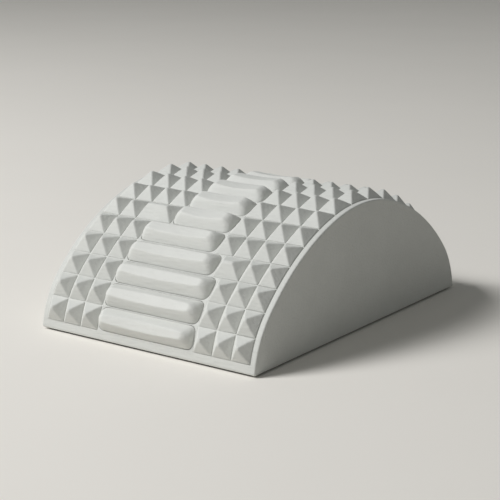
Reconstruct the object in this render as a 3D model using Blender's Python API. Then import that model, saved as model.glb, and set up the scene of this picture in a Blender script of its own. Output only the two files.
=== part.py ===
"""Foam back stretcher: an arched foam block to lie on, with massage relief on its arch.

The block has two shallow trays along its sides and a ladder of shallow seats between
them. A mat of small pyramids is bonded into each tray, one long bar into each seat,
and a thin grip sheet under the base.

X runs across the arch, Y along its base from front to back, and Z up.
The origin is on the floor, in the middle of the base.

The relief is modelled flat and bent onto the arch afterwards. In the flat model X is
the real X, Y is the way along the arch from its crown (negative towards the front),
and Z is the height over the arch.
"""
import math

import bmesh
import bpy
from mathutils import Matrix, Vector

# Block
WIDTH = 0.250
HEIGHT = 0.1242

# Arcs of the arch: crown, shoulder and foot, with the angles from upright where two of them end
ARC_RADII = (0.1745, 0.2309, 0.0900)
CROWN_ENDS = math.radians(14.28)
SHOULDER_ENDS = math.radians(47.36)
EDGE_ROUND = 0.0015
EDGE_ROUND_STEPS = 2

# Grip sheet under the base
SHEET_THICKNESS = 0.0024
SHEET_STANDS_PROUD = 0.0016
SHEET_INSET = 0.0030
SHEET_CORNER = 0.008
SHEET_CORNER_STEPS = 4

# Rows and columns of the relief
ROW_COUNT = 17
CROWN_ROW_STRETCH = 1.256
FRONT_BAND = 0.0091
SIDE_RIM = 0.0057
COLUMN_PITCH = 0.02106
FEW_COLUMNS = 3
MANY_COLUMNS = 4
GROOVE = 0.0011
STEPS_PER_ROW = 2

# Where a mat widens from few to many columns, its innermost pyramid is a long hip
LEFT_HIP_ROW = 5
LEFT_HIP_COLUMNS = 2.0
RIGHT_HIP_ROW = 3
RIGHT_HIP_COLUMNS = 1.41

# Pyramids and the mats that they are moulded with
TRAY_DEPTH = 0.0032
MAT_SINKS = 0.0003
PYRAMID_HEIGHT = 0.0098
PYRAMID_TIP = 0.0014

# Bars
SEAT_DEPTH = 0.0016
BAR_GAP = 0.0016
BAR_END_GAP = 0.0012
BAR_CORNER = 0.0062
BAR_CORNER_STEPS = 3
BAR_HEIGHT = 0.0094
BAR_DISH = 0.0013
BAR_SIDE_RUN = 0.0085
BAR_END_RUN = 0.0100
BAR_LENGTH_STEPS = 6

# A bar's section, level by level: shares of its height, of its side run and of its end run
BAR_LEVELS = (
    (0.50, 0.42, 0.22),
    (0.88, 0.80, 0.56),
    (1.00, 1.00, 1.00),
)

# Clearance between bonded pieces
FIT_GAP = 0.0003

# Working sizes: how far a cutter stands clear, and the flat slab that the relief is cut in
CUTTER_RISE = 0.006
SLAB_DEPTH = 0.020
MERGE_DISTANCE = 1e-6
TIP_MERGE_DISTANCE = 1e-4
SHARP_ANGLE = math.radians(20)


def remove_everything():
    for found in list(bpy.data.objects):
        bpy.data.objects.remove(found, do_unlink=True)


def foam(name, colour, roughness):
    material = bpy.data.materials.new(name)
    material.use_nodes = True
    shader = material.node_tree.nodes["Principled BSDF"]
    shader.inputs["Base Color"].default_value = (*colour, 1.0)
    shader.inputs["Roughness"].default_value = roughness
    shader.inputs["Metallic"].default_value = 0.0
    return material


# The arch: on each side a crown arc, a flatter shoulder arc and a tighter foot arc, all tangent

BASE_LEVEL = SHEET_STANDS_PROUD


def arch_arcs():
    """Start along the arch, start angle, radius and centre of each arc, and the arch's reach."""
    arcs = []
    along, angle, last_radius = 0.0, 0.0, 0.0
    centre = Vector((0.0, HEIGHT))
    for radius, end in zip(ARC_RADII, (CROWN_ENDS, SHOULDER_ENDS, None)):
        centre = centre + (last_radius - radius) * Vector((math.sin(angle), math.cos(angle)))
        arcs.append((along, angle, radius, centre))
        if end is None:
            end = math.acos((BASE_LEVEL - centre.y) / radius)
        along += radius * (end - angle)
        angle, last_radius = end, radius
    return arcs, along


ARCS, ARCH_REACH = arch_arcs()


def on_arch(along, height=0.0):
    """Y and Z of the point that lies so far along the arch from its crown, and so high."""
    reach = abs(along)
    start, angle, radius, centre = [arc for arc in ARCS if arc[0] <= reach][-1]
    angle += (reach - start) / radius
    out = centre.x + (radius + height) * math.sin(angle)
    return math.copysign(out, along), centre.y + (radius + height) * math.cos(angle)


HALF_CHORD = on_arch(ARCH_REACH)[0]


def bend_onto_arch(mesh):
    """Turn flat coordinates into real ones."""
    for vertex in mesh.verts:
        vertex.co.y, vertex.co.z = on_arch(vertex.co.y, vertex.co.z)


# Rows are a little longer at the crown than at the feet

def rows_from_foot(row):
    return min(row, ROW_COUNT - 1 - row)


def row_lines():
    middle = (ROW_COUNT - 1) / 2
    weights = [1 + (CROWN_ROW_STRETCH - 1) * rows_from_foot(row) / middle for row in range(ROW_COUNT)]
    span = 2 * (ARCH_REACH - FRONT_BAND)
    lines = [-span / 2]
    for weight in weights:
        lines.append(lines[-1] + span * weight / sum(weights))
    return lines


ROW_LINES = row_lines()


def step_lines():
    """The places along the arch where every piece has an edge across it."""
    lines = []
    for front, back in zip(ROW_LINES, ROW_LINES[1:]):
        lines += [front + (back - front) * step / STEPS_PER_ROW for step in range(STEPS_PER_ROW)]
    return lines + [ROW_LINES[-1]]


STEP_LINES = step_lines()


# The mats: side is -1 for the left one and 1 for the right one

MAT_OUTER = WIDTH / 2 - SIDE_RIM
HIP_ROWS = {-1: LEFT_HIP_ROW, 1: RIGHT_HIP_ROW}
HIP_COLUMNS = {-1: LEFT_HIP_COLUMNS, 1: RIGHT_HIP_COLUMNS}


def column_edges(side, row):
    """Distances from the middle of the edges between a row's pyramids, outermost first."""
    from_foot = rows_from_foot(row)
    if from_foot == HIP_ROWS[side]:
        widths = [1.0] * (FEW_COLUMNS - 1) + [HIP_COLUMNS[side]]
    else:
        widths = [1.0] * (MANY_COLUMNS if from_foot > HIP_ROWS[side] else FEW_COLUMNS)
    return [MAT_OUTER - COLUMN_PITCH * sum(widths[:count]) for count in range(len(widths) + 1)]


def mat_outline(side):
    """The corners of the tray, in flat coordinates."""
    corners = [(MAT_OUTER, ROW_LINES[-1]), (MAT_OUTER, ROW_LINES[0])]
    for row in range(ROW_COUNT):
        inner = column_edges(side, row)[-1]
        if math.isclose(corners[-1][0], inner, abs_tol=MERGE_DISTANCE):
            corners.pop()
        else:
            corners.append((inner, ROW_LINES[row]))
        corners.append((inner, ROW_LINES[row + 1]))
    return [(side * x, along) for x, along in corners]


def cut_across(mesh, lines, axis="Y"):
    """Cut every face at each place along the arch, or at each place across it."""
    across = axis == "Y"
    for line in lines:
        bmesh.ops.bisect_plane(
            mesh, geom=mesh.verts[:] + mesh.edges[:] + mesh.faces[:], dist=MERGE_DISTANCE,
            plane_co=(0, line, 0) if across else (line, 0, 0), plane_no=(0, 1, 0) if across else (1, 0, 0),
        )


def flat_sheet(outline, height):
    """One flat face with the outline, at a height over the arch."""
    mesh = bmesh.new()
    mesh.faces.new([mesh.verts.new((x, along, height)) for x, along in outline])
    bmesh.ops.recalc_face_normals(mesh, faces=mesh.faces)
    return mesh


def add_mesh(target, source):
    """Copy a mesh into another one as a separate body."""
    data = bpy.data.meshes.new("moved")
    source.to_mesh(data)
    source.free()
    target.from_mesh(data)
    bpy.data.meshes.remove(data)


def draw_in(mesh, distance):
    """Shrink a flat sheet by moving its whole outline inwards."""
    ring = bmesh.ops.inset_region(
        mesh, faces=mesh.faces[:], thickness=distance, use_boundary=True, use_even_offset=True
    )
    bmesh.ops.delete(mesh, geom=ring["faces"], context="FACES")


def thicken(mesh, offset):
    """Extrude a flat sheet by an offset into a closed slab, and return its top faces."""
    moved = bmesh.ops.extrude_face_region(mesh, geom=mesh.faces[:])["geom"]
    corners = [item for item in moved if isinstance(item, bmesh.types.BMVert)]
    bmesh.ops.translate(mesh, vec=offset, verts=corners)
    bmesh.ops.recalc_face_normals(mesh, faces=mesh.faces)
    return [face for face in mesh.faces if face.normal.z > 0.5]


def raise_faces(mesh, faces):
    """Extrude a patch of faces and return its new faces and corners, not yet moved."""
    raised = bmesh.ops.extrude_face_region(mesh, geom=faces)["geom"]
    bmesh.ops.delete(mesh, geom=faces, context="FACES")
    new_faces = [item for item in raised if isinstance(item, bmesh.types.BMFace)]
    new_corners = [item for item in raised if isinstance(item, bmesh.types.BMVert)]
    return new_faces, new_corners


def cell_of(side, centre):
    """The row and column of the pyramid that a point of the mat belongs to."""
    row = max(index for index in range(ROW_COUNT) if ROW_LINES[index] < centre.y)
    return row, sum(side * centre.x < edge for edge in column_edges(side, row))


def raise_pyramid(mesh, side, cell, faces):
    """Leave a groove round the cell and draw what is inside it up to a small tip."""
    bmesh.ops.inset_region(mesh, faces=faces, thickness=GROOVE / 2, use_even_offset=True)
    raised, corners = raise_faces(mesh, faces)
    middle = sum((corner.co for corner in corners), Vector()) / len(corners)
    wide = max(corner.co.x for corner in corners) - min(corner.co.x for corner in corners)
    deep = max(corner.co.y for corner in corners) - min(corner.co.y for corner in corners)
    ridge = max(wide - (COLUMN_PITCH - GROOVE), 0.0)
    middle.x = (max(corner.co.x for corner in corners) + min(corner.co.x for corner in corners)) / 2
    shrink = Matrix.Diagonal(((PYRAMID_TIP + ridge) / wide, PYRAMID_TIP / deep, 1.0))
    bmesh.ops.transform(mesh, matrix=shrink.to_4x4(), space=Matrix.Translation(-middle), verts=corners)
    bmesh.ops.translate(mesh, vec=(0, 0, PYRAMID_HEIGHT), verts=corners)
    bmesh.ops.remove_doubles(mesh, verts=corners, dist=TIP_MERGE_DISTANCE)


def pyramid_mat(side):
    mesh = flat_sheet(mat_outline(side), -TRAY_DEPTH)
    draw_in(mesh, FIT_GAP)
    cut_across(mesh, STEP_LINES[1:-1])
    cut_across(mesh, [side * edge for edge in column_edges(side, ROW_COUNT // 2)[1:-1]], "X")
    bmesh.ops.translate(mesh, vec=(0, 0, FIT_GAP), verts=mesh.verts)
    top = thicken(mesh, (0, 0, TRAY_DEPTH - FIT_GAP - MAT_SINKS))
    cells = {}
    for face in top:
        cells.setdefault(cell_of(side, face.calc_center_median()), []).append(face)
    for cell, faces in cells.items():
        raise_pyramid(mesh, side, cell, faces)
    return mesh


# The bars fill what the mats leave free, one to a row

def bar_plan(row, grow=0.0):
    """Middle and half sizes of a bar, across and along the arch."""
    left = BAR_END_GAP - column_edges(-1, row)[-1]
    right = column_edges(1, row)[-1] - BAR_END_GAP
    front, back = ROW_LINES[row] + BAR_GAP / 2, ROW_LINES[row + 1] - BAR_GAP / 2
    middle = Vector(((left + right) / 2, (front + back) / 2, 0.0))
    return middle, (right - left) / 2 + grow, (back - front) / 2 + grow


def rounded_outline(middle, half_x, half_y, corner, steps):
    """Points round a rectangle with round corners."""
    points = []
    for quarter, (sign_x, sign_y) in enumerate(((1, 1), (-1, 1), (-1, -1), (1, -1))):
        centre = (middle.x + sign_x * (half_x - corner), middle.y + sign_y * (half_y - corner))
        for step in range(steps + 1):
            angle = math.pi / 2 * (quarter + step / steps)
            points.append((centre[0] + corner * math.cos(angle), centre[1] + corner * math.sin(angle)))
    return points


def bar_sheet(row, height, grow=0.0):
    middle, half_x, half_y = bar_plan(row, grow)
    outline = rounded_outline(middle, half_x, half_y, BAR_CORNER + grow, BAR_CORNER_STEPS)
    flat_half = half_x - BAR_CORNER - grow
    mesh = flat_sheet(outline, height)
    cut_across(mesh, [middle.y])
    stations = [2 * step / BAR_LENGTH_STEPS - 1 for step in range(BAR_LENGTH_STEPS + 1)]
    cut_across(mesh, [middle.x + flat_half * station for station in stations], "X")
    return mesh


def dish(mesh, middle, crest_half):
    """Lower a bar towards its middle, along its sloping sides, which stay flat."""
    for vertex in mesh.verts:
        share = max(vertex.co.z, 0.0) / BAR_HEIGHT
        along_crest = min(abs(vertex.co.x - middle.x) / crest_half, 1.0)
        drop = BAR_DISH * share**2 * (1 - along_crest**2)
        off_middle = vertex.co.y - middle.y
        vertex.co.z -= drop
        if abs(off_middle) > MERGE_DISTANCE:
            vertex.co.y += math.copysign(drop * BAR_SIDE_RUN / BAR_HEIGHT, off_middle)


def spine_bar(row):
    middle, half_x, half_y = bar_plan(row)
    mesh = bar_sheet(row, FIT_GAP - SEAT_DEPTH)
    top = thicken(mesh, (0, 0, SEAT_DEPTH - FIT_GAP))
    size_x, size_y, height = half_x, half_y, 0.0
    for height_share, side_share, end_share in BAR_LEVELS:
        top, corners = raise_faces(mesh, top)
        next_x, next_y = half_x - end_share * BAR_END_RUN, half_y - side_share * BAR_SIDE_RUN
        shrink = Matrix.Diagonal((next_x / size_x, next_y / size_y, 1.0))
        bmesh.ops.transform(mesh, matrix=shrink.to_4x4(), space=Matrix.Translation(-middle), verts=corners)
        bmesh.ops.translate(mesh, vec=(0, 0, height_share * BAR_HEIGHT - height), verts=corners)
        size_x, size_y, height = next_x, next_y, height_share * BAR_HEIGHT
    dish(mesh, middle, size_x)
    return mesh


# The block: its relief is cut while it is flat, where every wall is upright

def recess_cutter():
    """The two trays and all the seats as upright prisms, in flat coordinates."""
    sheets = [flat_sheet(mat_outline(side), -TRAY_DEPTH) for side in (-1, 1)]
    depths = [TRAY_DEPTH, TRAY_DEPTH]
    for row in range(ROW_COUNT):
        sheets.append(bar_sheet(row, -SEAT_DEPTH, FIT_GAP))
        depths.append(SEAT_DEPTH)
    prisms = bmesh.new()
    for sheet, depth in zip(sheets, depths):
        thicken(sheet, (0, 0, depth + CUTTER_RISE))
        add_mesh(prisms, sheet)
    return prisms


def flat_slab():
    half_x, half_y = WIDTH / 2, ARCH_REACH
    outline = [(-half_x, -half_y), (half_x, -half_y), (half_x, half_y), (-half_x, half_y)]
    mesh = flat_sheet(outline, -SLAB_DEPTH)
    thicken(mesh, (0, 0, SLAB_DEPTH))
    return mesh


def cut_flat(body, cutter):
    """Cut one mesh out of another with a Boolean modifier and return the result."""
    pieces = [add_object("flat_slab", body, None), add_object("recess_cutter", cutter, None)]
    cut = pieces[0].modifiers.new("recesses", "BOOLEAN")
    cut.operation = "DIFFERENCE"
    cut.object = pieces[1]
    result = bmesh.new()
    result.from_object(pieces[0], bpy.context.evaluated_depsgraph_get())
    for piece in pieces:
        data = piece.data
        bpy.data.objects.remove(piece, do_unlink=True)
        bpy.data.meshes.remove(data)
    return result


def is_slab_side(face):
    """Whether a face lies in the slab's underside or in one of its four outer walls."""
    centre = face.calc_center_median()
    return (
        abs(centre.x) > WIDTH / 2 - MERGE_DISTANCE
        or abs(centre.y) > ARCH_REACH - MERGE_DISTANCE
        or centre.z < MERGE_DISTANCE - SLAB_DEPTH
    )


def keep_relief(mesh):
    """Drop the slab's underside and outer walls, which leaves its relief as a skin."""
    sides = [face for face in mesh.faces if is_slab_side(face)]
    bmesh.ops.delete(mesh, geom=sides, context="FACES")


def arch_block():
    mesh = cut_flat(flat_slab(), recess_cutter())
    keep_relief(mesh)
    cut_across(mesh, STEP_LINES)
    bend_onto_arch(mesh)
    feet = [edge for edge in mesh.edges if edge.is_boundary and edge.calc_length() > WIDTH * 0.9]
    base = bmesh.ops.bridge_loops(mesh, edges=feet)["faces"][0]
    rim = [edge for edge in mesh.edges if edge.is_boundary]
    ends = bmesh.ops.holes_fill(mesh, edges=rim)["faces"]
    around = {edge for face in (base, *ends) for edge in face.edges}
    bmesh.ops.bevel(
        mesh, geom=list(around), offset=EDGE_ROUND, segments=EDGE_ROUND_STEPS,
        profile=0.5, affect="EDGES", material=-1,
    )
    return mesh


# Making the objects

def add_object(name, mesh, material):
    bmesh.ops.recalc_face_normals(mesh, faces=mesh.faces)
    data = bpy.data.meshes.new(name)
    mesh.to_mesh(data)
    mesh.free()
    data.shade_smooth()
    data.set_sharp_from_angle(angle=SHARP_ANGLE)
    if material:
        data.materials.append(material)
    piece = bpy.data.objects.new(name, data)
    bpy.context.scene.collection.objects.link(piece)
    return piece


def sheet_slab(grow, low, high):
    """A flat slab with round corners, as large as the grip sheet and a little more."""
    half_x = WIDTH / 2 - SHEET_INSET + grow
    half_y = HALF_CHORD - SHEET_INSET + grow
    outline = rounded_outline(Vector(), half_x, half_y, SHEET_CORNER + grow, SHEET_CORNER_STEPS)
    mesh = flat_sheet(outline, low)
    thicken(mesh, (0, 0, high - low))
    return mesh


def build():
    remove_everything()
    block_foam = foam("block_foam", (0.610, 0.617, 0.584), 0.62)
    mat_foam = foam("mat_foam", (0.630, 0.637, 0.604), 0.58)
    bar_foam = foam("bar_foam", (0.660, 0.665, 0.630), 0.55)
    grip_rubber = foam("grip_rubber", (0.045, 0.045, 0.043), 0.85)

    block = add_object("arch_block", arch_block(), block_foam)
    cutter = add_object("sheet_cutter", sheet_slab(FIT_GAP, -CUTTER_RISE, SHEET_THICKNESS + FIT_GAP), None)
    cutter.hide_render = True
    cutter.display_type = "WIRE"
    recess = block.modifiers.new("sheet_recess", "BOOLEAN")
    recess.operation = "DIFFERENCE"
    recess.object = cutter
    add_object("base_sheet", sheet_slab(0.0, 0.0, SHEET_THICKNESS), grip_rubber)

    for side, name in ((-1, "left"), (1, "right")):
        mat = pyramid_mat(side)
        bend_onto_arch(mat)
        add_object(f"pyramid_mat_{name}", mat, mat_foam)
    for row in range(ROW_COUNT):
        bar = spine_bar(row)
        bend_onto_arch(bar)
        add_object(f"spine_bar_{row + 1:02d}", bar, bar_foam)


build()
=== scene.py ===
# %% [markdown]
# Foam back stretcher
#
# The object is an arched block of closed-cell foam that a person lies over. Long bars run
# across the middle of its arch and mats of small pyramids lie on both sides of them.
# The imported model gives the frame: where each piece is and how large it may be. This
# script replaces its plain solids with softer, finer ones and gives them their finish.

# %% Load the frame
import math

import bmesh
import bpy
from mathutils import Matrix
from mathutils import Vector


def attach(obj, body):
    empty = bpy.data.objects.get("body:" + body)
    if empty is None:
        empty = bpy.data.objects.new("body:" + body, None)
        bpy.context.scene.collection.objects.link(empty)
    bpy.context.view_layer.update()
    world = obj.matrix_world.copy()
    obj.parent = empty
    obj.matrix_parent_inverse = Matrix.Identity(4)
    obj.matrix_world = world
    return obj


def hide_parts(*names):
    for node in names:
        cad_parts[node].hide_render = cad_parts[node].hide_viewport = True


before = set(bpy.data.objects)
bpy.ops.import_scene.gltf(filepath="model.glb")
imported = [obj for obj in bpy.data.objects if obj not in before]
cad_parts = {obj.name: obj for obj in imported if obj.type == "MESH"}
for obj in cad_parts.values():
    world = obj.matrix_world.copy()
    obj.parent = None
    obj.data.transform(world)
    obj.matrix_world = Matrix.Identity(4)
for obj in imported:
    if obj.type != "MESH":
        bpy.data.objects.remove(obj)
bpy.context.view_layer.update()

# %% [markdown]
# The camera
#
# It stands to the right of the block, a little above it, and looks along the front face
# and the right end face at once. Its place and lens come from a camera that was fitted to
# the block's corners, so straight edges fall where they do in the picture.

# %% Camera
CAMERA_PLACE = (0.8361, -1.1737, 0.4269)
CAMERA_TILT = math.radians(75.679)
CAMERA_TURN = math.radians(35.750)
CAMERA_LENS = 107.66

camera_data = bpy.data.cameras.new("camera")
camera_data.lens = CAMERA_LENS
camera_data.sensor_width = 36.0
camera = bpy.data.objects.new("camera", camera_data)
camera.location = CAMERA_PLACE
camera.rotation_euler = (CAMERA_TILT, 0.0, CAMERA_TURN)
bpy.context.scene.collection.objects.link(camera)
bpy.context.scene.camera = camera
bpy.context.scene.view_settings.view_transform = "Standard"
print("camera at", CAMERA_PLACE, "with a", CAMERA_LENS, "mm lens")

# %% [markdown]
# The arch
#
# Seen from its end, the block is a round crown with flatter shoulders and tight, almost
# upright feet: three arcs on each side, each of which runs smoothly into the next.
# Everything on the arch follows it. It could be modelled in place, but then each wall and
# each slope would need its own angle. It is much simpler to model the relief flat, as on a
# sheet, and to roll the sheet onto the arch afterwards. In the flat sheet Y is the way
# along the arch from its crown, and Z the height over it.

# %% Sizes of the block
WIDTH = 0.250
HEIGHT = 0.1242
BASE_LEVEL = 0.0016
ARC_RADII = (0.1745, 0.2309, 0.0900)
CROWN_ENDS = math.radians(14.28)
SHOULDER_ENDS = math.radians(47.36)

# %% The three arcs


def arch_arcs():
    """Start along the arch, start angle, radius and centre of each arc, and the arch's reach."""
    arcs = []
    along, angle, last_radius = 0.0, 0.0, 0.0
    centre = Vector((0.0, HEIGHT))
    for radius, end in zip(ARC_RADII, (CROWN_ENDS, SHOULDER_ENDS, None)):
        centre = centre + (last_radius - radius) * Vector((math.sin(angle), math.cos(angle)))
        arcs.append((along, angle, radius, centre))
        if end is None:
            end = math.acos((BASE_LEVEL - centre.y) / radius)
        along += radius * (end - angle)
        angle, last_radius = end, radius
    return arcs, along


ARCS, ARCH_REACH = arch_arcs()

# %% Rolling a flat mesh onto the arch


def on_arch(along, height=0.0):
    """Y and Z of the point that lies so far along the arch from its crown, and so high."""
    reach = abs(along)
    start, angle, radius, centre = [arc for arc in ARCS if arc[0] <= reach][-1]
    angle += (reach - start) / radius
    out = centre.x + (radius + height) * math.sin(angle)
    return math.copysign(out, along), centre.y + (radius + height) * math.cos(angle)


def roll_onto_arch(mesh):
    for vertex in mesh.verts:
        vertex.co.y, vertex.co.z = on_arch(vertex.co.y, vertex.co.z)


HALF_CHORD = on_arch(ARCH_REACH)[0]
print("base", round(2 * HALF_CHORD, 4), "m long, arch", round(2 * ARCH_REACH, 4), "m along")

# %% [markdown]
# Rows and columns
#
# There is one bar to a row of pyramids. The rows are a little longer at the crown than at
# the feet, as they are on the real block. Three columns of pyramids stand on each side of
# the bars near the feet and four over the crown. Where a mat widens, its innermost pyramid
# is a long hip that bridges the step.

# %% Rows
ROW_COUNT = sum(name.startswith("spine_bar_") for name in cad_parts)
CROWN_ROW_STRETCH = 1.256
FRONT_BAND = 0.0091


def rows_from_foot(row):
    return min(row, ROW_COUNT - 1 - row)


def row_lines():
    middle = (ROW_COUNT - 1) / 2
    weights = [1 + (CROWN_ROW_STRETCH - 1) * rows_from_foot(row) / middle for row in range(ROW_COUNT)]
    span = 2 * (ARCH_REACH - FRONT_BAND)
    lines = [-span / 2]
    for weight in weights:
        lines.append(lines[-1] + span * weight / sum(weights))
    return lines


ROW_LINES = row_lines()


def fine_lines(steps):
    """Places along the arch that part each row into so many steps."""
    lines = []
    for front, back in zip(ROW_LINES, ROW_LINES[1:]):
        lines += [front + (back - front) * step / steps for step in range(steps)]
    return lines + [ROW_LINES[-1]]


print(ROW_COUNT, "rows, the first", round(ROW_LINES[1] - ROW_LINES[0], 4), "m long")

# %% Columns
SIDE_RIM = 0.0057
MAT_OUTER = WIDTH / 2 - SIDE_RIM
COLUMN_PITCH = 0.02106
FEW_COLUMNS = 3
MANY_COLUMNS = 4
HIP_ROWS = {-1: 5, 1: 3}
HIP_COLUMNS = {-1: 2.0, 1: 1.41}
SAME_PLACE = 1e-6


def column_edges(side, row):
    """Distances from the middle of the edges between a row's pyramids, outermost first."""
    from_foot = rows_from_foot(row)
    if from_foot == HIP_ROWS[side]:
        widths = [1.0] * (FEW_COLUMNS - 1) + [HIP_COLUMNS[side]]
    else:
        widths = [1.0] * (MANY_COLUMNS if from_foot > HIP_ROWS[side] else FEW_COLUMNS)
    return [MAT_OUTER - COLUMN_PITCH * sum(widths[:count]) for count in range(len(widths) + 1)]


def mat_outline(side):
    """The corners of a mat, in flat coordinates."""
    corners = [(MAT_OUTER, ROW_LINES[-1]), (MAT_OUTER, ROW_LINES[0])]
    for row in range(ROW_COUNT):
        inner = column_edges(side, row)[-1]
        if math.isclose(corners[-1][0], inner, abs_tol=SAME_PLACE):
            corners.pop()
        else:
            corners.append((inner, ROW_LINES[row]))
        corners.append((inner, ROW_LINES[row + 1]))
    return [(side * x, along) for x, along in corners]


# %% [markdown]
# Working on a flat sheet
#
# Every piece starts as one flat face. A few small helpers, each round one mesh operator,
# round its corners, cut it, give it a thickness and raise patches of it. They are used
# again and again below.

# %% Flat sheets


def flat_sheet(corners, height):
    """One flat face with these corners, at a height over the arch, facing up."""
    mesh = bmesh.new()
    mesh.faces.new([mesh.verts.new((x, along, height)) for x, along in corners])
    bmesh.ops.recalc_face_normals(mesh, faces=mesh.faces)
    return mesh


def rounded_sheet(middle, half_x, half_y, corner, steps, height):
    """A flat rectangle whose corners are beveled round."""
    low = (middle.x - half_x, middle.y - half_y)
    high = (middle.x + half_x, middle.y + half_y)
    mesh = flat_sheet([low, (high[0], low[1]), high, (low[0], high[1])], height)
    bmesh.ops.bevel(
        mesh, geom=mesh.verts[:], offset=corner, offset_type="OFFSET", segments=steps,
        profile=0.5, affect="VERTICES", material=-1,
    )
    return mesh


# %% Cutting and raising


def cut_across(mesh, lines, axis="Y"):
    """Cut every face at each place along the arch, or at each place across it."""
    point, direction = (Vector((0, 1, 0)), (0, 1, 0)) if axis == "Y" else (Vector((1, 0, 0)), (1, 0, 0))
    for line in lines:
        everything = mesh.verts[:] + mesh.edges[:] + mesh.faces[:]
        bmesh.ops.bisect_plane(
            mesh, geom=everything, dist=SAME_PLACE, plane_co=point * line, plane_no=direction,
        )


def thicken(mesh, rise):
    """Extrude a flat sheet upwards into a closed slab, and return its top faces."""
    moved = bmesh.ops.extrude_face_region(mesh, geom=mesh.faces[:])["geom"]
    corners = [item for item in moved if isinstance(item, bmesh.types.BMVert)]
    bmesh.ops.translate(mesh, vec=(0, 0, rise), verts=corners)
    bmesh.ops.recalc_face_normals(mesh, faces=mesh.faces)
    return [item for item in moved if isinstance(item, bmesh.types.BMFace)]


def raise_faces(mesh, faces):
    """Extrude a patch of faces and return its new faces and corners, not yet moved."""
    raised = bmesh.ops.extrude_face_region(mesh, geom=faces)["geom"]
    bmesh.ops.delete(mesh, geom=faces, context="FACES")
    new_faces = [item for item in raised if isinstance(item, bmesh.types.BMFace)]
    new_corners = [item for item in raised if isinstance(item, bmesh.types.BMVert)]
    return new_faces, new_corners


# %% [markdown]
# Foam skin
#
# Moulded closed-cell foam has a smooth skin: light warm grey, between matt and satin, with
# a very fine grain from the mould, faint streaks across the block, soft clouds where it is a
# shade lighter or darker, and a few pin-sized pores. Edges that stand out are rubbed a little
# shinier, and a painted highlight makes them lighter. The deep corners and grooves are
# painted lighter too, which is painted light. One picture could carry all that, but it
# would stretch over the arch, so noise in the piece's own coordinates is used.
# The streaks are the same noise, drawn out by shrinking one coordinate before it is read.
# Each effect is a node group that the foam materials share.

# %% Helpers for node groups


def new_group(name, inputs, outputs):
    """An empty node group with these sockets, and its input and output nodes."""
    group = bpy.data.node_groups.new(name, "ShaderNodeTree")
    for socket_name, socket_type, value in inputs:
        socket = group.interface.new_socket(socket_name, in_out="INPUT", socket_type=socket_type)
        if value is not None:
            socket.default_value = value
    for socket_name, socket_type in outputs:
        group.interface.new_socket(socket_name, in_out="OUTPUT", socket_type=socket_type)
    return group, group.nodes.new("NodeGroupInput"), group.nodes.new("NodeGroupOutput")


def add_noise(tree, place, scale, detail, roughness=0.5):
    noise = tree.nodes.new("ShaderNodeTexNoise")
    noise.inputs["Scale"].default_value = scale
    noise.inputs["Detail"].default_value = detail
    noise.inputs["Roughness"].default_value = roughness
    tree.links.new(place, noise.inputs["Vector"])
    return noise.outputs["Fac"]


def add_range(tree, value, low, high, to_low, to_high):
    """Stretch a value from one range to another and keep it there."""
    stretch = tree.nodes.new("ShaderNodeMapRange")
    stretch.inputs["From Min"].default_value = low
    stretch.inputs["From Max"].default_value = high
    stretch.inputs["To Min"].default_value = to_low
    stretch.inputs["To Max"].default_value = to_high
    tree.links.new(value, stretch.inputs["Value"])
    return stretch.outputs["Result"]


def add_math(tree, operation, first, second):
    """One sum of two values, each a socket or a plain number."""
    node = tree.nodes.new("ShaderNodeMath")
    node.operation = operation
    for socket, value in zip(node.inputs, (first, second)):
        if isinstance(value, (int, float)):
            socket.default_value = value
        else:
            tree.links.new(value, socket)
    return node.outputs["Value"]


def add_scaled(tree, first, first_share, second, second_share):
    """So much of one value plus so much of another."""
    first = add_math(tree, "MULTIPLY", first, first_share)
    return add_math(tree, "ADD", first, add_math(tree, "MULTIPLY", second, second_share))


def add_mix(tree, factor, first, second):
    """Blend two colours, each a socket or a plain colour."""
    node = tree.nodes.new("ShaderNodeMix")
    node.data_type = "RGBA"
    # The node has a set of sockets for each kind of value, and these three are for colours
    sockets = (node.inputs[0], node.inputs[6], node.inputs[7])
    for socket, value in zip(sockets, (factor, first, second)):
        if isinstance(value, (int, float, tuple)):
            socket.default_value = value
        else:
            tree.links.new(value, socket)
    return node.outputs[2]


# %% Node group: grain, streaks and pores
GRAIN_SHARE = 0.3
SWELL_SHARE = 0.3
STREAK_SHARE = 1.9
STREAK_DRAW = (0.2, 1.0, 1.0)


def make_grain_group():
    """Height of the mould's grain and streaks, less the sparse pin-sized pores."""
    group, start, end = new_group(
        "foam_grain",
        [("Place", "NodeSocketVector", None), ("Pore Depth", "NodeSocketFloat", 0.6)],
        [("Height", "NodeSocketFloat"), ("Pores", "NodeSocketFloat")],
    )
    place = start.outputs["Place"]
    grain = add_noise(group, place, 1900.0, 2.0, 0.6)
    swell = add_noise(group, place, 260.0, 2.0)
    drawn = group.nodes.new("ShaderNodeVectorMath")
    drawn.operation = "MULTIPLY"
    drawn.inputs[1].default_value = STREAK_DRAW
    group.links.new(place, drawn.inputs[0])
    streaks = add_noise(group, drawn.outputs["Vector"], 400.0, 2.0)
    cells = group.nodes.new("ShaderNodeTexVoronoi")
    cells.inputs["Scale"].default_value = 420.0
    group.links.new(place, cells.inputs["Vector"])
    dots = add_range(group, cells.outputs["Distance"], 0.06, 0.13, 1.0, 0.0)
    rare = add_range(group, add_noise(group, place, 150.0, 1.0), 0.60, 0.66, 0.0, 1.0)
    pores = add_math(group, "MULTIPLY", dots, rare)
    height = add_scaled(group, grain, GRAIN_SHARE, swell, SWELL_SHARE)
    height = add_math(group, "ADD", height, add_math(group, "MULTIPLY", streaks, STREAK_SHARE))
    deep = add_math(group, "MULTIPLY", pores, start.outputs["Pore Depth"])
    group.links.new(add_math(group, "SUBTRACT", height, deep), end.inputs["Height"])
    group.links.new(pores, end.inputs["Pores"])
    return group


FOAM_GRAIN = make_grain_group()

# %% Node group: clouds


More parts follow.
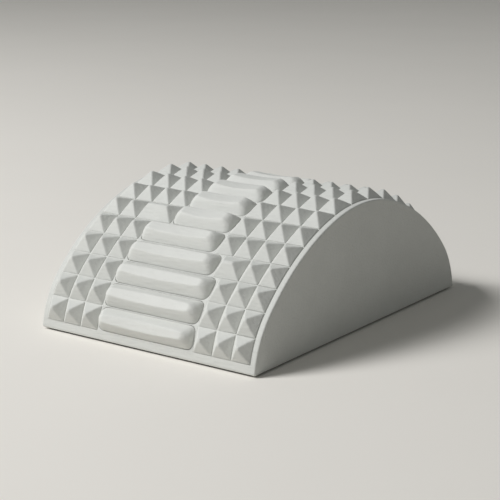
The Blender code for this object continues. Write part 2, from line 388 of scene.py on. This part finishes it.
def make_cloud_group():
    """Two sizes of soft cloud, between 0 and 1."""
    group, start, end = new_group(
        "foam_clouds", [("Place", "NodeSocketVector", None)], [("Clouds", "NodeSocketFloat")],
    )
    wide = add_noise(group, start.outputs["Place"], 14.0, 3.0)
    fine = add_noise(group, start.outputs["Place"], 90.0, 4.0, 0.6)
    both = add_scaled(group, wide, 0.6, fine, 0.4)
    group.links.new(add_range(group, both, 0.35, 0.65, 0.0, 1.0), end.inputs["Clouds"])
    return group


FOAM_CLOUDS = make_cloud_group()

# %% Node group: painted edge highlights, edge wear and painted light in deep corners


def make_highlights_group():
    """Masks where an edge stands out, for a painted highlight and wear, and where a corner lies deep, for
    painted light.
    """
    group, start, end = new_group(
        "highlights_and_wear",
        [("Place", "NodeSocketVector", None)],
        [("Edge Highlight And Wear", "NodeSocketFloat"), ("Deep", "NodeSocketFloat")],
    )
    geometry = group.nodes.new("ShaderNodeNewGeometry")
    patchy = add_range(group, add_noise(group, start.outputs["Place"], 60.0, 3.0), 0.3, 0.7, 0.5, 1.0)
    edge = add_range(group, geometry.outputs["Pointiness"], 0.52, 0.62, 0.0, 1.0)
    deep = add_range(group, geometry.outputs["Pointiness"], 0.48, 0.40, 0.0, 1.0)
    group.links.new(add_math(group, "MULTIPLY", edge, patchy), end.inputs["Edge Highlight And Wear"])
    group.links.new(add_math(group, "MULTIPLY", deep, patchy), end.inputs["Deep"])
    return group


HIGHLIGHTS_AND_WEAR = make_highlights_group()
print("node groups:", [group.name for group in bpy.data.node_groups])

# %% Foam material


def add_group(tree, group, place):
    node = tree.nodes.new("ShaderNodeGroup")
    node.node_tree = group
    tree.links.new(place, node.inputs["Place"])
    return node


def shade(colour, amount):
    """The same colour, lighter or darker by a share."""
    return tuple(channel * (1.0 + amount) for channel in colour) + (1.0,)


def foam_material(name, colour, roughness):
    """Foam of one colour: clouds first, then a painted highlight on edges, painted light in deep corners,
    and pores.
    """
    material = bpy.data.materials.new(name)
    material.use_nodes = True
    tree = material.node_tree
    shader = tree.nodes["Principled BSDF"]
    place = tree.nodes.new("ShaderNodeTexCoord").outputs["Object"]
    clouds = add_group(tree, FOAM_CLOUDS, place).outputs["Clouds"]
    grain = add_group(tree, FOAM_GRAIN, place)
    highlights = add_group(tree, HIGHLIGHTS_AND_WEAR, place)
    base = add_mix(tree, clouds, shade(colour, -0.025), shade(colour, 0.025))
    # Painted highlight: edges and tips that stand out are made lighter
    base = add_mix(tree, add_math(tree, "MULTIPLY", highlights.outputs["Edge Highlight And Wear"], 0.8), base, shade(colour, 0.14))
    # Painted light: deep corners and grooves are made a good deal lighter
    base = add_mix(tree, add_math(tree, "MULTIPLY", highlights.outputs["Deep"], 0.9), base, shade(colour, 0.25))
    base = add_mix(tree, add_math(tree, "MULTIPLY", grain.outputs["Pores"], 0.5), base, shade(colour, -0.3))
    tree.links.new(base, shader.inputs["Base Color"])
    shader.inputs["Specular IOR Level"].default_value = FOAM_GLOSS
    shine = add_range(tree, clouds, 0.0, 1.0, roughness + 0.05, roughness - 0.05)
    shine = add_math(tree, "SUBTRACT", shine, add_math(tree, "MULTIPLY", highlights.outputs["Edge Highlight And Wear"], 0.1))
    tree.links.new(shine, shader.inputs["Roughness"])
    bump = tree.nodes.new("ShaderNodeBump")
    bump.inputs["Strength"].default_value = GRAIN_STRENGTH
    bump.inputs["Distance"].default_value = GRAIN_HEIGHT
    tree.links.new(grain.outputs["Height"], bump.inputs["Height"])
    tree.links.new(bump.outputs["Normal"], shader.inputs["Normal"])
    return material


FOAM_GLOSS = 0.28
GRAIN_STRENGTH = 0.75
GRAIN_HEIGHT = 0.00034
BLOCK_FOAM = foam_material("block_foam_skin", (0.610, 0.617, 0.590), 0.66)
MAT_FOAM = foam_material("mat_foam_skin", (0.630, 0.637, 0.610), 0.64)
BAR_FOAM = foam_material("bar_foam_skin", (0.660, 0.665, 0.637), 0.60)

# %% [markdown]
# Finishing a piece
#
# A finished piece is an object at the origin whose place is in its mesh. It rides on the
# one body of the imported model and stands for that model's node, which is hidden.


def finish_piece(name, mesh, node, material, sharp_angle):
    """Make a piece of the mesh, smooth except at sharp angles, put it on the root body and hide the model's
    node that it stands for.
    """
    bmesh.ops.recalc_face_normals(mesh, faces=mesh.faces)
    data = bpy.data.meshes.new(name)
    mesh.to_mesh(data)
    mesh.free()
    data.shade_smooth()
    if sharp_angle:
        data.set_sharp_from_angle(angle=math.radians(sharp_angle))
    data.materials.append(material)
    piece = bpy.data.objects.new(name, data)
    bpy.context.scene.collection.objects.link(piece)
    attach(piece, "root")
    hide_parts(node)
    print(name, "has", len(data.polygons), "faces")
    return piece


# %% [markdown]
# The bars
#
# Each bar is like a long loaf. Its long sides slope up straight to a soft crest, its top is
# a flat facet that dips towards the middle, so that it looks waisted, and its ends are
# round. A beveled box has ends that are too hard. So a rounded sheet is raised in steps,
# and each step draws it in by one share at the sides and another at the ends: nearly
# evenly at the sides, and like a quarter of an ellipse at the ends. A subdivision surface
# then smooths the steps. Two steps close together keep the crest crisp.

# %% Sizes of the bars
BAR_GAP = 0.0016
BAR_END_GAP = 0.0012
BAR_CORNER = 0.0062
BAR_HEIGHT = 0.0094
BAR_DISH = 0.0013
BAR_SIDE_RUN = 0.0085
BAR_END_RUN = 0.0100
SEAT_DEPTH = 0.0016
FIT_GAP = 0.0003

# The bar lies snug against the back and the left end of its seat, so that the dark line
# of the joint shows in front of it
BAR_GROWS = 0.0001
BAR_SITS_BACK = 0.00012
BAR_SITS_LEFT = 0.00012
BAR_FOOT_LEVEL = -0.0003

# Shares of the height, of the side run and of the end run, and the plan's corner radius
BAR_STEPS = (
    (0.03, 0.025, 0.005, 0.0062),
    (0.25, 0.215, 0.065, 0.0060),
    (0.50, 0.435, 0.190, 0.0056),
    (0.76, 0.680, 0.400, 0.0048),
    (0.93, 0.845, 0.650, 0.0036),
    (0.99, 0.935, 0.855, 0.0025),
    (1.00, 0.995, 0.985, 0.0018),
    (1.00, 1.055, 1.080, 0.0013),
)

# %% Plan of a bar


def bar_plan(row):
    """Middle and half sizes of a bar, across and along the arch."""
    left = BAR_END_GAP - column_edges(-1, row)[-1]
    right = column_edges(1, row)[-1] - BAR_END_GAP
    front = ROW_LINES[row] + BAR_GAP / 2
    back = ROW_LINES[row + 1] - BAR_GAP / 2
    return Vector(((left + right) / 2, (front + back) / 2, 0.0)), (right - left) / 2, (back - front) / 2


def bar_sheet(row, height, grow, corner_steps):
    middle, half_x, half_y = bar_plan(row)
    return rounded_sheet(middle, half_x + grow, half_y + grow, BAR_CORNER + grow, corner_steps, height)


# %% One bar
BAR_CUTS = 8


def dish(mesh, middle, crest_half):
    """Lower a bar towards its middle, along its sloping sides, which stay flat."""
    for vertex in mesh.verts:
        share = max(vertex.co.z, 0.0) / BAR_HEIGHT
        along_crest = min(abs(vertex.co.x - middle.x) / crest_half, 1.0)
        drop = BAR_DISH * share**2 * (1 - along_crest**2)
        off_middle = vertex.co.y - middle.y
        vertex.co.z -= drop
        if abs(off_middle) > SAME_PLACE:
            vertex.co.y += math.copysign(drop * BAR_SIDE_RUN / BAR_HEIGHT, off_middle)


def resize(offset, old_half, old_corner, new_half, new_corner):
    """Move a distance from the middle of one rounded outline onto another outline."""
    old_flat = old_half - old_corner
    new_flat = new_half - new_corner
    reach = abs(offset)
    if reach <= old_flat:
        return offset * new_flat / old_flat
    return math.copysign(new_flat + (reach - old_flat) * new_corner / old_corner, offset)


def loaf_bar(row):
    middle, half_x, half_y = bar_plan(row)
    outline = (half_x + BAR_GROWS, half_y + BAR_GROWS, BAR_CORNER + BAR_GROWS)
    mesh = bar_sheet(row, FIT_GAP - SEAT_DEPTH, BAR_GROWS, 3)
    cut_across(mesh, [middle.y])
    stations = [2 * step / BAR_CUTS - 1 for step in range(BAR_CUTS + 1)]
    cut_across(mesh, [middle.x + (outline[0] - outline[2]) * station for station in stations], "X")
    top = thicken(mesh, SEAT_DEPTH - FIT_GAP + BAR_FOOT_LEVEL)
    for height_share, side_share, end_share, corner in BAR_STEPS:
        top, corners = raise_faces(mesh, top)
        smaller = (half_x - end_share * BAR_END_RUN, half_y - side_share * BAR_SIDE_RUN, corner)
        for vertex in corners:
            off = vertex.co - middle
            vertex.co.x = middle.x + resize(off.x, outline[0], outline[2], smaller[0], corner)
            vertex.co.y = middle.y + resize(off.y, outline[1], outline[2], smaller[1], corner)
            vertex.co.z = height_share * BAR_HEIGHT
        outline = smaller
    dish(mesh, middle, half_x - BAR_END_RUN)
    bmesh.ops.translate(mesh, vec=(-BAR_SITS_LEFT, BAR_SITS_BACK, 0), verts=mesh.verts)
    roll_onto_arch(mesh)
    return mesh


# %% All the bars
for row in range(ROW_COUNT):
    number = f"{row + 1:02d}"
    bar = finish_piece(f"bar_{number}", loaf_bar(row), f"spine_bar_{number}", BAR_FOAM, None)
    smooth = bar.modifiers.new("smooth", "SUBSURF")
    smooth.levels = 2
    smooth.render_levels = 2

# %% [markdown]
# The mats
#
# Each mat is one sheet of foam with small pyramids on it. The pyramids have flat sides,
# softly rounded ridges and a blunt tip, and narrow flat grooves between them. Cones with
# four sides set out in a grid would be quick, but a grid does not follow the step in the
# mat or its long hips. So the mat's own outline is cut into cells, and every cell is
# inset for its groove, raised and drawn together. The ridges are then beveled.
#
# A mat lies snug in its tray, so that no line shows round it. Only the right mat leaves a
# narrow gap at the light rim, and dips towards it, which is the thin dark line along the
# rim on the real block.

# %% Sizes of the mats
TRAY_DEPTH = 0.0032
GROOVE = 0.0011
PYRAMID_FOOT = 0.0006
PYRAMID_HEIGHT = 0.0096
PYRAMID_TIP = 0.0025
RIDGE_ROUND = 0.0010
RIDGE_STEPS = 4
FLAT_MARGIN = 0.0003
MAT_SINKS = 0.0001
SNUG_GAP = 0.00005
RIM_GAP = {-1: SNUG_GAP, 1: 0.0006}
RIM_DIP = {-1: 0.0, 1: 0.0010}
BAND_DIP = 0.0003

SIDE_AREA = 2e-5

# %% One pyramid


def cell_of(side, centre):
    """The row and column of the pyramid that a point of the mat belongs to."""
    row = max(index for index in range(ROW_COUNT) if ROW_LINES[index] < centre.y)
    return row, sum(side * centre.x < edge for edge in column_edges(side, row))


def raise_pyramid(mesh, faces):
    """Leave a groove round the cell, then a low foot, and draw it up to a blunt tip."""
    bmesh.ops.inset_region(mesh, faces=faces, thickness=GROOVE / 2, use_even_offset=True)
    straight = [loop.vert for loop in faces[0].loops if loop.calc_angle() > math.pi - 0.01]
    spokes = [edge for vertex in straight for edge in vertex.link_edges if edge not in faces[0].edges[:]]
    bmesh.ops.dissolve_edges(mesh, edges=spokes, use_verts=True)
    faces, corners = raise_faces(mesh, faces)
    bmesh.ops.translate(mesh, vec=(0, 0, PYRAMID_FOOT), verts=corners)
    raised, corners = raise_faces(mesh, faces)
    across = [corner.co.x for corner in corners]
    along = [corner.co.y for corner in corners]
    middle = Vector(((max(across) + min(across)) / 2, (max(along) + min(along)) / 2, 0.0))
    wide = max(across) - min(across)
    deep = max(along) - min(along)
    ridge = max(wide - (COLUMN_PITCH - GROOVE), 0.0)
    shrink = Matrix.Diagonal(((PYRAMID_TIP + ridge) / wide, PYRAMID_TIP / deep, 1.0)).to_4x4()
    bmesh.ops.transform(mesh, matrix=shrink, space=Matrix.Translation(-middle), verts=corners)
    bmesh.ops.translate(mesh, vec=(0, 0, PYRAMID_HEIGHT - PYRAMID_FOOT), verts=corners)


# %% One mat


def mat_cells(side):
    """A flat sheet, a little smaller than its tray, cut into one face for each pyramid."""
    mesh = flat_sheet(mat_outline(side), FIT_GAP - TRAY_DEPTH)
    for vertex in mesh.verts:
        outer = abs(vertex.co.x) > MAT_OUTER - SAME_PLACE
        vertex.co.x -= side * (RIM_GAP[side] if outer else -SNUG_GAP)
        if abs(vertex.co.y) > ROW_LINES[-1] - SAME_PLACE:
            vertex.co.y -= math.copysign(SNUG_GAP, vertex.co.y)
    cut_across(mesh, ROW_LINES[1:-1])
    for edge in column_edges(side, ROW_COUNT // 2)[1:-1]:
        cut_across(mesh, [side * edge], "X")
    return mesh


def is_ridge(edge):
    """Whether an edge is one of a pyramid's ridges or of its tip, and not inside a flat side."""
    top = max(edge.verts[0].co.z, edge.verts[1].co.z)
    return top > PYRAMID_HEIGHT / 2 and edge.calc_face_angle() > 0.1


def pyramid_mat(side):
    mesh = mat_cells(side)
    top = thicken(mesh, TRAY_DEPTH - FIT_GAP - MAT_SINKS)
    cells = {}
    for face in top:
        cells.setdefault(cell_of(side, face.calc_center_median()), []).append(face)
    for faces in cells.values():
        if len(faces) > 1:
            faces = bmesh.ops.dissolve_faces(mesh, faces=faces)["region"]
        raise_pyramid(mesh, faces)
    for vertex in mesh.verts:
        if vertex.co.z > -2 * MAT_SINKS and abs(vertex.co.x) > MAT_OUTER - RIM_GAP[side] - SAME_PLACE:
            vertex.co.z -= RIM_DIP[side]
        elif vertex.co.z > -2 * MAT_SINKS and abs(vertex.co.y) > ROW_LINES[-1] - SNUG_GAP - SAME_PLACE:
            vertex.co.z -= BAND_DIP
    ridges = [edge for edge in mesh.edges if is_ridge(edge)]
    bmesh.ops.bevel(
        mesh, geom=ridges, offset=RIDGE_ROUND, offset_type="OFFSET", segments=RIDGE_STEPS,
        profile=0.5, affect="EDGES", material=-1, clamp_overlap=False,
    )
    sides = [face for face in mesh.faces if face.calc_area() > SIDE_AREA and 0.2 < face.normal.z < 0.9]
    bmesh.ops.inset_individual(mesh, faces=sides, thickness=FLAT_MARGIN, use_even_offset=True)
    cut_across(mesh, fine_lines(4)[1:-1])
    roll_onto_arch(mesh)
    print("mat", side, "has", len(cells), "pyramids")
    return mesh


# %% Both mats
MAT_NAMES = {-1: "left", 1: "right"}
for side, side_name in MAT_NAMES.items():
    mat = finish_piece(
        f"{side_name}_mat", pyramid_mat(side), f"pyramid_mat_{side_name}", MAT_FOAM, 26.0,
    )

# %% [markdown]
# The block
#
# The block under the relief is one solid arch. Two shallow trays hold the mats, and a
# ladder of shallow seats holds the bars, so that narrow strips of the block show between
# them. Its ends are flat, with a soft round edge. The trays and seats are cut while the
# top is still a flat slab, where every wall is upright, with one Boolean cut. Then the
# lips are beveled, the skin is rolled onto the arch and closed with a base and two ends.

# %% Sizes of the block's edges
EDGE_ROUND = 0.0014
FOOT_ROUND = 0.0020
EDGE_STEPS = 4
EDGE_MARGIN = 0.0006
FOOT_MARGIN = 0.0030
FLAT_AREA = 0.01
FLAT_STEP = 0.012
LIP_ROUND = 0.00022
LIP_STEPS = 2
CUTTER_RISE = 0.006
SLAB_DEPTH = 0.020

# %% Cutting one mesh out of another


def add_mesh(target, source):
    """Copy a mesh into another one as a separate body."""
    data = bpy.data.meshes.new("moved")
    source.to_mesh(data)
    source.free()
    target.from_mesh(data)
    bpy.data.meshes.remove(data)


def scratch_object(name, mesh):
    """An object for one Boolean cut, deleted straight afterwards."""
    bmesh.ops.recalc_face_normals(mesh, faces=mesh.faces)
    data = bpy.data.meshes.new(name)
    mesh.to_mesh(data)
    mesh.free()
    piece = bpy.data.objects.new(name, data)
    bpy.context.scene.collection.objects.link(piece)
    return piece


# Three unlike numbers, so that no two places come out the same
PLACE_ORDER = Vector((1.0, 37.0, 1009.0))


def in_order_of_place(mesh):
    """The same mesh with its parts sorted by place.

    An extrusion leaves them in an order that changes from run to run, and what a dissolve or
    a bevel makes of them depends on it.
    """
    mesh.verts.sort(key=lambda vertex: vertex.co.dot(PLACE_ORDER))
    mesh.edges.sort(key=lambda edge: (edge.verts[0].co + edge.verts[1].co).dot(PLACE_ORDER))
    mesh.faces.sort(key=lambda face: face.calc_center_median().dot(PLACE_ORDER))
    settled = bmesh.new()
    add_mesh(settled, mesh)
    return settled


def cut_out(body, cutter):
    """The first mesh less the second one, by one Boolean cut."""
    body, cutter = in_order_of_place(body), in_order_of_place(cutter)
    pieces = [scratch_object("body", body), scratch_object("cutter", cutter)]
    cut = pieces[0].modifiers.new("cut", "BOOLEAN")
    cut.operation = "DIFFERENCE"
    cut.object = pieces[1]
    result = bmesh.new()
    result.from_object(pieces[0], bpy.context.evaluated_depsgraph_get())
    for piece in pieces:
        data = piece.data
        bpy.data.objects.remove(piece, do_unlink=True)
        bpy.data.meshes.remove(data)
    return in_order_of_place(result)


# %% The flat slab with its trays and seats


def recess_cutter():
    """The two trays and all the seats as upright prisms, in flat coordinates."""
    prisms = bmesh.new()
    for side in (-1, 1):
        tray = flat_sheet(mat_outline(side), -TRAY_DEPTH)
        thicken(tray, TRAY_DEPTH + CUTTER_RISE)
        add_mesh(prisms, tray)
    for row in range(ROW_COUNT):
        seat = bar_sheet(row, -SEAT_DEPTH, FIT_GAP, 5)
        thicken(seat, SEAT_DEPTH + CUTTER_RISE)
        add_mesh(prisms, seat)
    return prisms


def flat_slab():
    half_x = WIDTH / 2
    corners = [(-half_x, -ARCH_REACH), (half_x, -ARCH_REACH), (half_x, ARCH_REACH), (-half_x, ARCH_REACH)]
    mesh = flat_sheet(corners, -SLAB_DEPTH)
    thicken(mesh, SLAB_DEPTH)
    return mesh


def is_slab_side(face):
    """Whether a face lies in the slab's underside or in one of its four outer walls."""
    centre = face.calc_center_median()
    in_end = abs(centre.x) > WIDTH / 2 - SAME_PLACE
    in_foot = abs(centre.y) > ARCH_REACH - SAME_PLACE
    return in_end or in_foot or centre.z < SAME_PLACE - SLAB_DEPTH


# %% Soft lips


def is_lip(edge):
    """Whether an edge is a recess's rim, other than where a mat lies snug in its tray."""
    if len(edge.link_faces) != 2 or max(abs(vertex.co.z) for vertex in edge.verts) > SAME_PLACE:
        return False
    walls = [face for face in edge.link_faces if abs(face.normal.z) < 0.5]
    if len(walls) != 1:
        return False
    deep = min(vertex.co.z for vertex in walls[0].verts) < -SEAT_DEPTH - SAME_PLACE
    beside_rim = all(abs(vertex.co.x) > MAT_OUTER - SAME_PLACE for vertex in edge.verts)
    return beside_rim or not deep


def relief_skin():
    mesh = cut_out(flat_slab(), recess_cutter())
    sides = [face for face in mesh.faces if is_slab_side(face)]
    bmesh.ops.delete(mesh, geom=sides, context="FACES")
    bmesh.ops.dissolve_limit(
        mesh, angle_limit=math.radians(0.5), verts=mesh.verts[:], edges=mesh.edges[:],
    )
    lips = [edge for edge in mesh.edges if is_lip(edge)]
    bmesh.ops.bevel(
        mesh, geom=lips, offset=LIP_ROUND, offset_type="OFFSET", segments=LIP_STEPS,
        profile=0.5, affect="EDGES", material=-1, clamp_overlap=False,
    )
    print("relief skin:", len(lips), "lips beveled")
    return mesh


# %% Slab for the grip sheet, and for the recess that holds it
SHEET_THICKNESS = 0.0024
SHEET_INSET = 0.0030
SHEET_CORNER = 0.008


def sheet_slab(grow, low, high):
    """A flat slab with round corners, as large as the grip sheet and a little more."""
    half_x = WIDTH / 2 - SHEET_INSET + grow
    half_y = HALF_CHORD - SHEET_INSET + grow
    mesh = rounded_sheet(Vector((0, 0, 0)), half_x, half_y, SHEET_CORNER + grow, 6, low)
    thicken(mesh, high - low)
    return mesh


# %% Closing the block


def edges_of(faces):
    """Each edge of these faces once, always in the same order, which a set would not keep."""
    return list(dict.fromkeys(edge for face in faces for edge in face.edges))


def corners_of(faces):
    return list(dict.fromkeys(vertex for face in faces for vertex in face.verts))


def part_flat_faces(mesh, faces):
    """Cut the large flat faces into small ones, which take light and the painted edge highlights evenly."""
    far = int(HALF_CHORD / FLAT_STEP)
    cuts = [((0, 0, 1), (0, 0, FLAT_STEP * step)) for step in range(1, int(HEIGHT / FLAT_STEP) + 1)]
    cuts += [((0, 1, 0), (0, FLAT_STEP * step, 0)) for step in range(-far, far + 1)]
    cuts += [((1, 0, 0), (FLAT_STEP * step, 0, 0)) for step in range(-far, far + 1)]
    for direction, place in cuts:
        cut = bmesh.ops.bisect_plane(
            mesh, geom=corners_of(faces) + edges_of(faces) + faces, dist=SAME_PLACE,
            plane_co=place, plane_no=direction,
        )
        faces = [item for item in cut["geom"] if isinstance(item, bmesh.types.BMFace)]


def is_foot(edge):
    """Whether an edge is the skin's front or back boundary, down at the base."""
    return edge.is_boundary and max(vertex.co.z for vertex in edge.verts) < BASE_LEVEL + SAME_PLACE


def foam_core():
    """The relief rolled onto the arch, closed with a base and two ends, and cut for the sheet."""
    mesh = relief_skin()
    margin = WIDTH / 2 - EDGE_ROUND - EDGE_MARGIN
    cut_across(mesh, [-margin, margin], "X")
    cut_across(mesh, [-ARCH_REACH + FOOT_MARGIN, ARCH_REACH - FOOT_MARGIN])
    cut_across(mesh, fine_lines(6))
    roll_onto_arch(mesh)
    feet = [edge for edge in mesh.edges if is_foot(edge)]
    base = bmesh.ops.bridge_loops(mesh, edges=feet)["faces"]
    base = bmesh.ops.dissolve_faces(mesh, faces=base)["region"]
    feet = [edge for edge in base[0].edges if not edge.is_boundary]
    bmesh.ops.bevel(
        mesh, geom=feet, offset=FOOT_ROUND, offset_type="OFFSET", segments=EDGE_STEPS,
        profile=0.5, affect="EDGES", material=-1,
    )
    rim = [edge for edge in mesh.edges if edge.is_boundary]
    ends = bmesh.ops.holes_fill(mesh, edges=rim)["faces"]
    bmesh.ops.bevel(
        mesh, geom=edges_of(ends), offset=EDGE_ROUND, offset_type="OFFSET", segments=EDGE_STEPS,
        profile=0.5, affect="EDGES", material=-1,
    )
    flat = [face for face in mesh.faces if face.calc_area() > FLAT_AREA]
    bmesh.ops.inset_individual(mesh, faces=flat, thickness=EDGE_MARGIN, use_even_offset=True)
    part_flat_faces(mesh, flat)
    cutter = sheet_slab(FIT_GAP, -CUTTER_RISE, SHEET_THICKNESS + FIT_GAP)
    print("closed block:", len(base), "base face,", len(ends), "ends,", len(flat), "flat faces inset")
    return cut_out(mesh, cutter)


# %% The block as a piece
core = finish_piece("foam_core", foam_core(), "arch_block", BLOCK_FOAM, 26.0)

# %% [markdown]
# The grip sheet
#
# A thin sheet of black rubber under the base keeps the block from sliding. It stands a
# little proud of the foam and starts a little way in from its edge, which leaves a thin
# shaded gap under the block. The sheet's near-black colour is also painted shade: it
# darkens that thin line. Its underside has a fine ribbed tread.

# %% Grip rubber


def rubber_material(name, colour):
    material = bpy.data.materials.new(name)
    material.use_nodes = True
    tree = material.node_tree
    shader = tree.nodes["Principled BSDF"]
    place = tree.nodes.new("ShaderNodeTexCoord").outputs["Object"]
    clouds = add_group(tree, FOAM_CLOUDS, place).outputs["Clouds"]
    grain = add_group(tree, FOAM_GRAIN, place)
    tread = tree.nodes.new("ShaderNodeTexWave")
    tread.inputs["Scale"].default_value = 110.0
    tree.links.new(place, tread.inputs["Vector"])
    ribs = add_range(tree, tread.outputs["Fac"], 0.3, 0.7, 0.0, 1.0)
    base = add_mix(tree, clouds, shade(colour, -0.15), shade(colour, 0.15))
    base = add_mix(tree, add_math(tree, "MULTIPLY", ribs, 0.4), base, shade(colour, 0.5))
    tree.links.new(base, shader.inputs["Base Color"])
    tree.links.new(add_range(tree, clouds, 0.0, 1.0, 0.90, 0.78), shader.inputs["Roughness"])
    height = add_math(tree, "ADD", add_math(tree, "MULTIPLY", grain.outputs["Height"], 0.15), ribs)
    bump = tree.nodes.new("ShaderNodeBump")
    bump.inputs["Strength"].default_value = 0.6
    bump.inputs["Distance"].default_value = 0.0004
    tree.links.new(height, bump.inputs["Height"])
    tree.links.new(bump.outputs["Normal"], shader.inputs["Normal"])
    return material


# Painted shade: the near-black colour also darkens the thin shaded line under the block
GRIP_RUBBER = rubber_material("grip_rubber_tread", (0.045, 0.045, 0.043))

# %% The grip sheet as a piece
SHEET_EDGE = 0.0004


def grip_sheet():
    mesh = sheet_slab(0.0, 0.0, SHEET_THICKNESS)
    rims = [edge for edge in mesh.edges if abs(edge.verts[0].co.z - edge.verts[1].co.z) < SAME_PLACE]
    bmesh.ops.bevel(
        mesh, geom=rims, offset=SHEET_EDGE, offset_type="OFFSET", segments=2,
        profile=0.5, affect="EDGES", material=-1,
    )
    return mesh


finish_piece("grip_sheet", grip_sheet(), "base_sheet", GRIP_RUBBER, 50.0)

# %% [markdown]
# Floor and light
#
# The block stands on a plain pale floor in a soft studio light. One large lamp stands to
# the left, in front and high up, so that every pyramid has a light side and a side in
# shade. A dim even sky fills the shade. Both are set so that a colour in full light comes
# out about as it is written. A brighter sky would wash the shade out. The sky that the
# camera and mirrored rays see is a shade of its own, so that it can be pale without adding
# any light.

# %% Floor
FLOOR_SIZE = 6.0
FLOOR_COLOUR = (0.87, 0.84, 0.79)


def floor_material():
    material = bpy.data.materials.new("floor_paper")
    material.use_nodes = True
    tree = material.node_tree
    shader = tree.nodes["Principled BSDF"]
    place = tree.nodes.new("ShaderNodeTexCoord").outputs["Object"]
    clouds = add_noise(tree, place, 3.0, 3.0)
    base = add_mix(tree, clouds, shade(FLOOR_COLOUR, -0.02), shade(FLOOR_COLOUR, 0.02))
    tree.links.new(base, shader.inputs["Base Color"])
    shader.inputs["Roughness"].default_value = 0.9
    shader.inputs["Specular IOR Level"].default_value = 0.1
    return material


floor_mesh = bmesh.new()
bmesh.ops.create_grid(floor_mesh, x_segments=4, y_segments=4, size=FLOOR_SIZE)
floor_data = bpy.data.meshes.new("floor")
floor_mesh.to_mesh(floor_data)
floor_mesh.free()
floor_data.materials.append(floor_material())
floor = bpy.data.objects.new("floor", floor_data)
bpy.context.scene.collection.objects.link(floor)

# %% Lamp and sky
KEY_DIRECTION = Vector((-0.50, -0.54, 0.68)).normalized()
KEY_DISTANCE = 4.5
KEY_SIZE = 1.8
KEY_POWER = 185.0
SKY_COLOUR = (0.97, 1.0, 0.98, 1.0)
SKY_STRENGTH = 0.155
SKY_SEEN = 0.62

key_data = bpy.data.lights.new("key", "AREA")
key_data.size = KEY_SIZE
key_data.energy = KEY_POWER
key_data.color = (0.995, 0.997, 1.0)
key = bpy.data.objects.new("key", key_data)
key.location = KEY_DIRECTION * KEY_DISTANCE
key.rotation_euler = KEY_DIRECTION.to_track_quat("Z", "Y").to_euler()
bpy.context.scene.collection.objects.link(key)

world = bpy.data.worlds.new("sky")
world.use_nodes = True
background = world.node_tree.nodes["Background"]
background.inputs["Color"].default_value = SKY_COLOUR
light_path = world.node_tree.nodes.new("ShaderNodeLightPath")
seen = light_path.outputs["Is Camera Ray"]
for mirrored in ("Is Glossy Ray", "Is Transmission Ray"):
    seen = add_math(world.node_tree, "MAXIMUM", seen, light_path.outputs[mirrored])
strength = add_range(world.node_tree, seen, 0.0, 1.0, SKY_STRENGTH, SKY_SEEN)
world.node_tree.links.new(strength, background.inputs["Strength"])
bpy.context.scene.world = world
